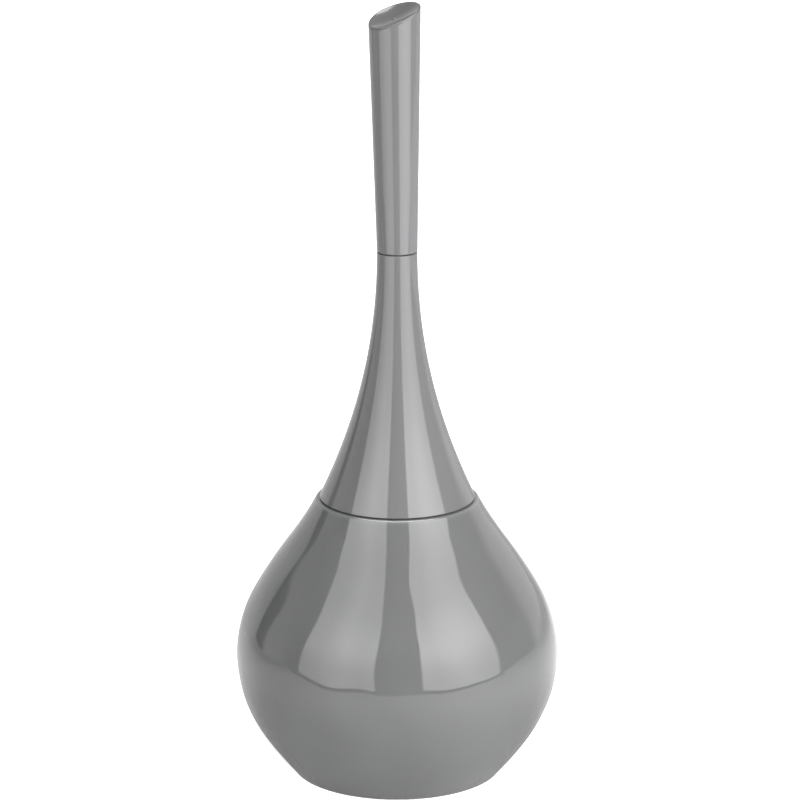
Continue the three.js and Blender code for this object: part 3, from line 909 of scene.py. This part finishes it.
ROWS = 8
ROW_TRIM = 1.1  # how far the strands end inside the CAD's row
TUFTS = 15  # in a row
STRANDS = 30  # in a tuft
STRAND_RADIUS = 0.21
STRAND_SIDES = 4
STRAND_STEPS = 4
STRAND_BOW = 0.35
TUFT_HOLE = 1.7
TUFT_SPREAD = 3.6  # radius of a tuft at its end
TUFT_ROOT = 1.2  # how deep a tuft sits in the core
TIP_REACH = 21
# Rings of tufts on the core's end: number, slant, turn, and for its flat middle the share of its radius.
TIP_TUFTS = ((13, -22, 0, None), (11, -46, 0.5, None), (6, -68, 0, 0.5), (1, -90, 0, 0))


def strand(vertices, faces, start, tip, bow):
    """One filament, bowed sideways, with flat cut ends."""
    along_axis = (tip - start).normalized()
    side = along_axis.orthogonal().normalized()
    other = along_axis.cross(side)
    first = len(vertices)
    for k in range(STRAND_STEPS + 1):
        t = k / STRAND_STEPS
        middle = start.lerp(tip, t) + bow * (t * t)
        for i in range(STRAND_SIDES):
            angle = 2 * math.pi * i / STRAND_SIDES
            vertices.append(middle + (side * math.cos(angle) + other * math.sin(angle)) * STRAND_RADIUS)
    rings = [range(low, low + STRAND_SIDES) for low in range(first, len(vertices), STRAND_SIDES)]
    faces += stitched(rings, closed=False)
    faces.append(tuple(rings[-1]))
    faces.append(tuple(reversed(rings[0])))


def tuft(vertices, faces, root, direction, reach, draw):
    """A tuft of filaments that fans out from a hole. reach(point) shortens what would stand too far out."""
    side = direction.orthogonal().normalized()
    other = direction.cross(side)
    for _ in range(STRANDS):
        spin = draw.uniform(0, 2 * math.pi)
        share = math.sqrt(draw.random())
        across = side * math.cos(spin) + other * math.sin(spin)
        start = root + across * (share * (TUFT_HOLE - STRAND_RADIUS))
        tip = reach(root, direction, across * (share * TUFT_SPREAD), draw)
        bow = Vector([draw.gauss(0, STRAND_BOW) for _ in range(3)])
        strand(vertices, faces, start, tip, bow)


def make_rows():
    """Rows of tufts that stand out from the core, each row turned by half a step."""
    core_radius = CORE_HIGH.x
    draw = random.Random(11)
    for row in range(1, ROWS + 1):
        low, high = box(f"bristle_row_{row}")
        middle = (low.z + high.z) / 2
        vertices = []
        faces = []

        def reach(root, direction, across, draw, radius=high.x):
            tip = root + direction * (radius - core_radius) + across
            flat = math.hypot(tip.x, tip.y)
            limit = radius - ROW_TRIM - abs(draw.gauss(0, 0.45))
            return Vector((tip.x * limit / flat, tip.y * limit / flat, tip.z))

        for i in range(TUFTS):
            angle = 2 * math.pi * (i + row % 2 / 2) / TUFTS
            direction = Vector((math.cos(angle), math.sin(angle), 0))
            root = direction * (core_radius - TUFT_ROOT) + Vector((0, 0, middle))
            tuft(vertices, faces, root, direction, reach, draw)
        bristles = mesh_object(f"bristles_{row}", vertices, faces, [BRISTLE])
        stands_for(bristles, "head", "bristle", f"bristle_row_{row}")


def make_tip():
    """The tufts on the core's rounded end: rings that slant down ever more, and one straight down."""
    low, high = box("bristle_tip")
    draw = random.Random(23)
    vertices = []
    faces = []
    core_radius = CORE_HIGH.x
    base = CORE_LOW.z + CORE_DOME

    def reach(root, direction, across, draw):
        length = TIP_REACH - abs(draw.gauss(0, 0.6))
        tip = root + direction * length + across
        tip.z = max(tip.z, low.z + 0.6 + abs(draw.gauss(0, 0.35)))
        return tip

    for count, slant, start, share in TIP_TUFTS:
        down = math.radians(slant)
        height = base + (CORE_DOME - TUFT_ROOT) * math.sin(down)
        out = core_radius - CORE_DOME + (CORE_DOME - TUFT_ROOT) * math.cos(down)
        if share is not None:
            out = core_radius * share
        for i in range(count):
            angle = 2 * math.pi * (i + start) / count
            x, y = math.cos(angle), math.sin(angle)
            direction = Vector((x * math.cos(down), y * math.cos(down), math.sin(down)))
            tuft(vertices, faces, Vector((x * out, y * out, height)), direction, reach, draw)
    bristles = mesh_object("bristles_tip", vertices, faces, [BRISTLE])
    stands_for(bristles, "head", "bristle", "bristle_tip")


def make_core():
    radius = CORE_HIGH.x
    hole_bottom = CORE_HIGH.z - THREAD_LENGTH - SOCKET_SPARE
    bore = steps_between(SPIGOT_HOLE, hole_bottom, CORE_HIGH.z, THREAD_STEP)
    bore.reverse()
    outline = [
        (0, CORE_LOW.z),
        *arc((radius - CORE_DOME, CORE_LOW.z + CORE_DOME), CORE_DOME, -math.pi / 2, 0, 12),
        *rounded(
            [
                (radius, CORE_HIGH.z - CORE_NECK_LENGTH, 0.4),
                (CORE_NECK_RADIUS, CORE_HIGH.z - CORE_NECK_LENGTH + 1, 0.3),
                (CORE_NECK_RADIUS, CORE_HIGH.z, 0.5),
                (SPIGOT_HOLE, CORE_HIGH.z),
                (SPIGOT_HOLE, CORE_HIGH.z - 0.01),
            ]
        ),
        *bore,
        (SPIGOT_HOLE, hole_bottom),
        (0, hole_bottom),
    ]
    shape = thread_shape(-HOLE_THREAD_DEPTH, hole_bottom, CORE_HIGH.z)
    core = turned("core", outline, [CORE_PLASTIC], SIDES_SMALL, shape)
    stands_for(core, "head", "core_plastic", "brush_core")


# ---------- Studio ----------

VIEW_AZIMUTH = math.radians(-30)
VIEW_ELEVATION = math.radians(16.3)
VIEW_DISTANCE = 2.6
VIEW_HEIGHT = 0.204
VIEW_ASIDE = 0.00147  # how far the aim lies to the right of the object's axis
LENS = 222.6  # mm, on a 36 mm sensor

# The studio round the object, as brightness over the angle from the camera: (degrees, brightness).
# Two wide soft boxes stand in front with a gap between them. The rest of the room is dark in front,
# with a black flag on the left, and has a white backdrop at the back.
BOXES = (
    (-74.5, 0),
    (-73, 3),
    (-60, 3.35),
    (-50, 4.1),
    (-40, 4.7),
    (-30, 4.1),
    (-17, 3.9),
    (-15.8, 0),
    (16.8, 0),
    (18, 5.4),
    (30, 5.4),
    (40, 6.1),
    (50, 6.2),
    (60, 5.6),
    (70, 4.7),
    (76.5, 4.3),
    (78, 0),
)
ROOM = (
    (-180, 0.9),
    (-150, 0.95),
    (-132, 0.9),
    (-124, 0.75),
    (-108, 0.75),
    (-96, 0.6),
    (-82, 0.12),
    (-74, 0),
    (100, 0),
    (112, 0.1),
    (118, 0.4),
    (124, 0.95),
    (138, 1.05),
    (180, 0.95),
)
BRIGHTEST = 8  # brightnesses are kept in the ramps as shares of this
BOX_TOP = 56  # degrees above the horizon
BOX_HOTTEST = 27  # the height at which the soft boxes are brightest
BOX_SPREAD = 16  # and how fast they fade above and below it
BOX_EDGE = 0.61  # how much of that brightness is left far from it
FLAG = (-124, -112, 20)  # its two sides and its top, in degrees
BACKDROP_TOP = (16, 42)  # heights between which the room fades to the ceiling
CEILING = 0.42
TOP_LIGHT = (57, 64, 8.0)  # a panel overhead that only gloss sees: where it begins and is full, brightness
SOFT_LIGHT = 0.97  # what surfaces are lit by, as a share of what gloss sees
LEFT_TO_RIGHT = 0.75  # how much more soft light comes from the right


def view_frame():
    """The camera's direction seen from the object, and its right, both level."""
    out = Vector((math.sin(VIEW_AZIMUTH), -math.cos(VIEW_AZIMUTH), 0))
    right = Vector((math.cos(VIEW_AZIMUTH), math.sin(VIEW_AZIMUTH), 0))
    return out, right


def make_camera():
    out, right = view_frame()
    aim = right * VIEW_ASIDE + Vector((0, 0, VIEW_HEIGHT))
    towards = out * math.cos(VIEW_ELEVATION) + Vector((0, 0, math.sin(VIEW_ELEVATION)))
    data = bpy.data.cameras.new("camera")
    data.lens = LENS
    data.sensor_width = 36
    camera = placed("camera", data)
    camera.location = aim + towards * VIEW_DISTANCE
    camera.rotation_euler = (-towards).to_track_quat("-Z", "Y").to_euler()
    bpy.context.scene.camera = camera


def part(tree, vector, axis):
    """A vector's length along an axis."""
    inputs = {0: vector, 1: tuple(axis)}
    return node(tree, "ShaderNodeVectorMath", inputs, operation="DOT_PRODUCT").outputs["Value"]


def azimuth_of(tree, vector):
    """The angle of a place or a direction round the object, from the camera to the right."""
    out, right = view_frame()
    return maths(tree, "ARCTAN2", part(tree, vector, right), part(tree, vector, out))


def ramp_over(tree, azimuth, stops):
    """Brightness that follows stops over the azimuth."""
    share = maths(tree, "MULTIPLY_ADD", azimuth, 0.5 / math.pi, 0.5)
    ramp = node(tree, "ShaderNodeValToRGB", {"Fac": share})
    while len(ramp.color_ramp.elements) < len(stops):
        ramp.color_ramp.elements.new(1)
    for element, (degrees, brightness) in zip(ramp.color_ramp.elements, stops):
        element.position = 0.5 + degrees / 360
        element.color = (brightness / BRIGHTEST,) * 3 + (1,)
    return maths(tree, "MULTIPLY", ramp.outputs["Color"], BRIGHTEST)


def between(tree, value, low, high, softness):
    """1 where a value lies between two others, with soft edges."""
    rise = remap(tree, value, low - softness, low + softness, 0.0, 1.0)
    fall = remap(tree, value, high - softness, high + softness, 1.0, 0.0)
    return maths(tree, "MULTIPLY", rise, fall)


def make_world():
    """The studio for gloss and for soft light, and plain white for the camera."""
    world = bpy.data.worlds.new("studio")
    bpy.context.scene.world = world
    world.use_nodes = True
    tree = world.node_tree
    tree.nodes.clear()
    direction = node(tree, "ShaderNodeTexCoord").outputs["Generated"]
    degree = math.radians(1)
    azimuth = azimuth_of(tree, direction)
    height = maths(tree, "ARCSINE", part(tree, direction, (0, 0, 1)))

    from_hottest = maths(tree, "MULTIPLY_ADD", height, 1 / (BOX_SPREAD * degree), -BOX_HOTTEST / BOX_SPREAD)
    bell = maths(tree, "EXPONENT", maths(tree, "MULTIPLY", maths(tree, "POWER", from_hottest, 2.0), -1.0))
    fall = maths(tree, "MULTIPLY_ADD", bell, 1 - BOX_EDGE, BOX_EDGE)
    below_top = remap(tree, height, (BOX_TOP - 1) * degree, (BOX_TOP + 1) * degree, 1.0, 0.0)
    boxes = maths(tree, "MULTIPLY", ramp_over(tree, azimuth, BOXES), maths(tree, "MULTIPLY", fall, below_top))

    flag = between(tree, azimuth, FLAG[0] * degree, FLAG[1] * degree, 1.2 * degree)
    flag = maths(tree, "MULTIPLY", flag, between(tree, height, -90 * degree, FLAG[2] * degree, 2 * degree))
    room = maths(tree, "MULTIPLY", ramp_over(tree, azimuth, ROOM), maths(tree, "SUBTRACT", 1.0, flag))
    overhead = remap(tree, height, BACKDROP_TOP[0] * degree, BACKDROP_TOP[1] * degree, 0.0, 1.0)
    room = node(tree, "ShaderNodeMix", {0: overhead, 2: room, 3: CEILING}).outputs[0]

    glow = maths(tree, "ADD", boxes, room)
    rightwards = part(tree, direction, view_frame()[1])
    lopsided = maths(tree, "MULTIPLY_ADD", rightwards, SOFT_LIGHT * LEFT_TO_RIGHT, SOFT_LIGHT)
    soft = maths(tree, "MULTIPLY", glow, lopsided)
    low, high, brightness = TOP_LIGHT
    panel = remap(tree, height, low * degree, high * degree, 0.0, brightness)
    glow = maths(tree, "ADD", glow, panel)

    ray = node(tree, "ShaderNodeLightPath")
    seen = node(tree, "ShaderNodeMix", {0: ray.outputs["Is Glossy Ray"], 2: soft, 3: glow}).outputs[0]
    seen = node(tree, "ShaderNodeMix", {0: ray.outputs["Is Camera Ray"], 2: seen, 3: 1.0}).outputs[0]
    light = node(tree, "ShaderNodeBackground", {"Color": (1, 1, 1, 1), "Strength": seen})
    node(tree, "ShaderNodeOutputWorld", {"Surface": light.outputs[0]})


FLOOR_SIZE = 3.0
FLOOR_GLOW = 0.72  # keeps the floor white round the object

# The edge of the table that the bowl reflects: (degrees from the camera, distance in metres).
TABLE_EDGE = (
    (0, 0.48),
    (45, 0.5),
    (60, 0.6),
    (70, 0.7),
    (80, 0.84),
    (95, 0.95),
    (112, 1.05),
    (130, 1.9),
    (180, 2.4),
)
TABLE_SHADED_LIP = 1.45  # painted shade: a black lip runs along its front edge, out to this share of the distance, standing for the edge in shade
TABLE_SHADED_LIP_SIDE = 79  # degrees from the camera at which it ends
TABLE_SHADE = 0.24  # how much of the table's light is left under the bowl
TABLE_SHADE_REACH = (0.03, 0.26)  # distances between which that shade ends
TABLE_MIDDLE = (0.3, 0.9)  # and between which the near light turns into the far light
TABLE_SIDES = 180
TABLE_LIFT = 0.0002  # above the floor

# The table's brightness near the bowl and far from it: (degrees from the camera, near, far).
TABLE_LIGHT = (
    (-180, 0.62, 0.75),
    (-150, 0.82, 0.95),
    (-132, 1.2, 0.95),
    (-112, 1.25, 0.55),
    (-90, 1.05, 0.37),
    (-75, 1.0, 0.43),
    (-60, 1.24, 1.07),
    (-20, 1.22, 1.07),
    (0, 0.91, 0.86),
    (20, 1.5, 1.4),
    (42, 1.95, 1.8),
    (60, 1.7, 1.6),
    (75, 1.42, 1.18),
    (100, 1.36, 0.8),
    (122, 1.6, 0.75),
    (150, 1.45, 0.6),
    (180, 0.8, 0.7),
)


def table_distance(degrees):
    """How far the table reaches, at an angle from the camera."""
    degrees = abs((degrees + 180) % 360 - 180)
    for (a, near), (b, far) in zip(TABLE_EDGE, TABLE_EDGE[1:]):
        if degrees <= b:
            return lerp(near, far, smooth(a, b, degrees))
    return TABLE_EDGE[-1][1]


def make_floor():
    """A plain pale floor, which gloss doesn't see."""
    mesh = bpy.data.meshes.new("floor")
    corners = [(x * FLOOR_SIZE, y * FLOOR_SIZE, 0) for x, y in ((-1, -1), (1, -1), (1, 1), (-1, 1))]
    mesh.from_pydata(corners, [], [(0, 1, 2, 3)])
    pale = Finish("pale_floor", Roughness=0.9, Emission_Color=(1, 1, 1, 1), Emission_Strength=FLOOR_GLOW)
    pale.colour(pale.mix(pale.noise(60), grey(0.8), grey(0.82)))
    mesh.materials.append(pale.material)
    floor = placed("floor", mesh)
    floor.visible_glossy = False


def table_light(tree):
    """The table's brightness, by the direction from the bowl and the distance."""
    place = node(tree, "ShaderNodeTexCoord").outputs["Object"]
    distance = node(tree, "ShaderNodeVectorMath", {0: place}, operation="LENGTH").outputs["Value"]
    azimuth = azimuth_of(tree, place)
    near = ramp_over(tree, azimuth, [(degrees, light) for degrees, light, _ in TABLE_LIGHT])
    far = ramp_over(tree, azimuth, [(degrees, light) for degrees, _, light in TABLE_LIGHT])
    away = remap(tree, distance, *TABLE_MIDDLE, 0.0, 1.0)
    bright = node(tree, "ShaderNodeMix", {0: away, 2: near, 3: far}).outputs[0]
    shade = remap(tree, distance, *TABLE_SHADE_REACH, TABLE_SHADE, 1.0)
    return maths(tree, "MULTIPLY", bright, shade)


def table_material(name, lit):
    """A material that glows with the table's painted light, or is black as painted shade."""
    material = bpy.data.materials.new(name)
    material.use_nodes = True
    tree = material.node_tree
    tree.nodes.clear()
    light = node(tree, "ShaderNodeEmission", {"Strength": table_light(tree) if lit else 0.0})
    node(tree, "ShaderNodeOutputMaterial", {"Surface": light.outputs[0]})
    return material


def make_table():
    """The white table, glowing with painted light and a painted shadow under the bowl, with its front lip
    painted black as shade; only gloss sees it.
    """
    out, right = view_frame()
    count = TABLE_SIDES
    vertices = [(0, 0, TABLE_LIFT)]
    for reach in (1, TABLE_SHADED_LIP):
        for i in range(count):
            degrees = 360 * i / count
            angle = math.radians(degrees)
            distance = table_distance(degrees) * reach
            spot = (out * math.cos(angle) + right * math.sin(angle)) * distance
            vertices.append((spot.x, spot.y, TABLE_LIFT))
    faces = [(0, 1 + i, 1 + (i + 1) % count) for i in range(count)]
    for i in range(count):
        j = (i + 1) % count
        faces.append((1 + i, 1 + count + i, 1 + count + j, 1 + j))
    mesh = bpy.data.meshes.new("table")
    mesh.from_pydata(vertices, [], faces)
    mesh.materials.append(table_material("table_top", lit=True))
    # painted shade: the black material of the table's front lip
    mesh.materials.append(table_material("table_lip_painted_shade", lit=False))
    for i, polygon in enumerate(mesh.polygons):
        middle = 360 * ((i - count) + 0.5) / count
        in_front = abs((middle + 180) % 360 - 180) < TABLE_SHADED_LIP_SIDE
        polygon.material_index = 1 if i >= count and in_front else 0
    table = placed("table", mesh)
    table.visible_camera = False
    table.visible_diffuse = False
    table.visible_shadow = False
    table.visible_transmission = False


# ---------- Everything ----------

make_camera()
make_world()
make_floor()
make_table()
make_bowl()
make_pads()
make_seal()
make_cone()
make_plate()
make_grommet()
make_stem()
make_washer("neck_ring_washer", "neck_washer", "neck_ring")
make_shell()
make_cap()
make_socket()
make_washer("head_ring_washer", "head_washer", "head_ring")
make_core()
make_rows()
make_tip()

bpy.context.scene.view_settings.view_transform = "Standard"
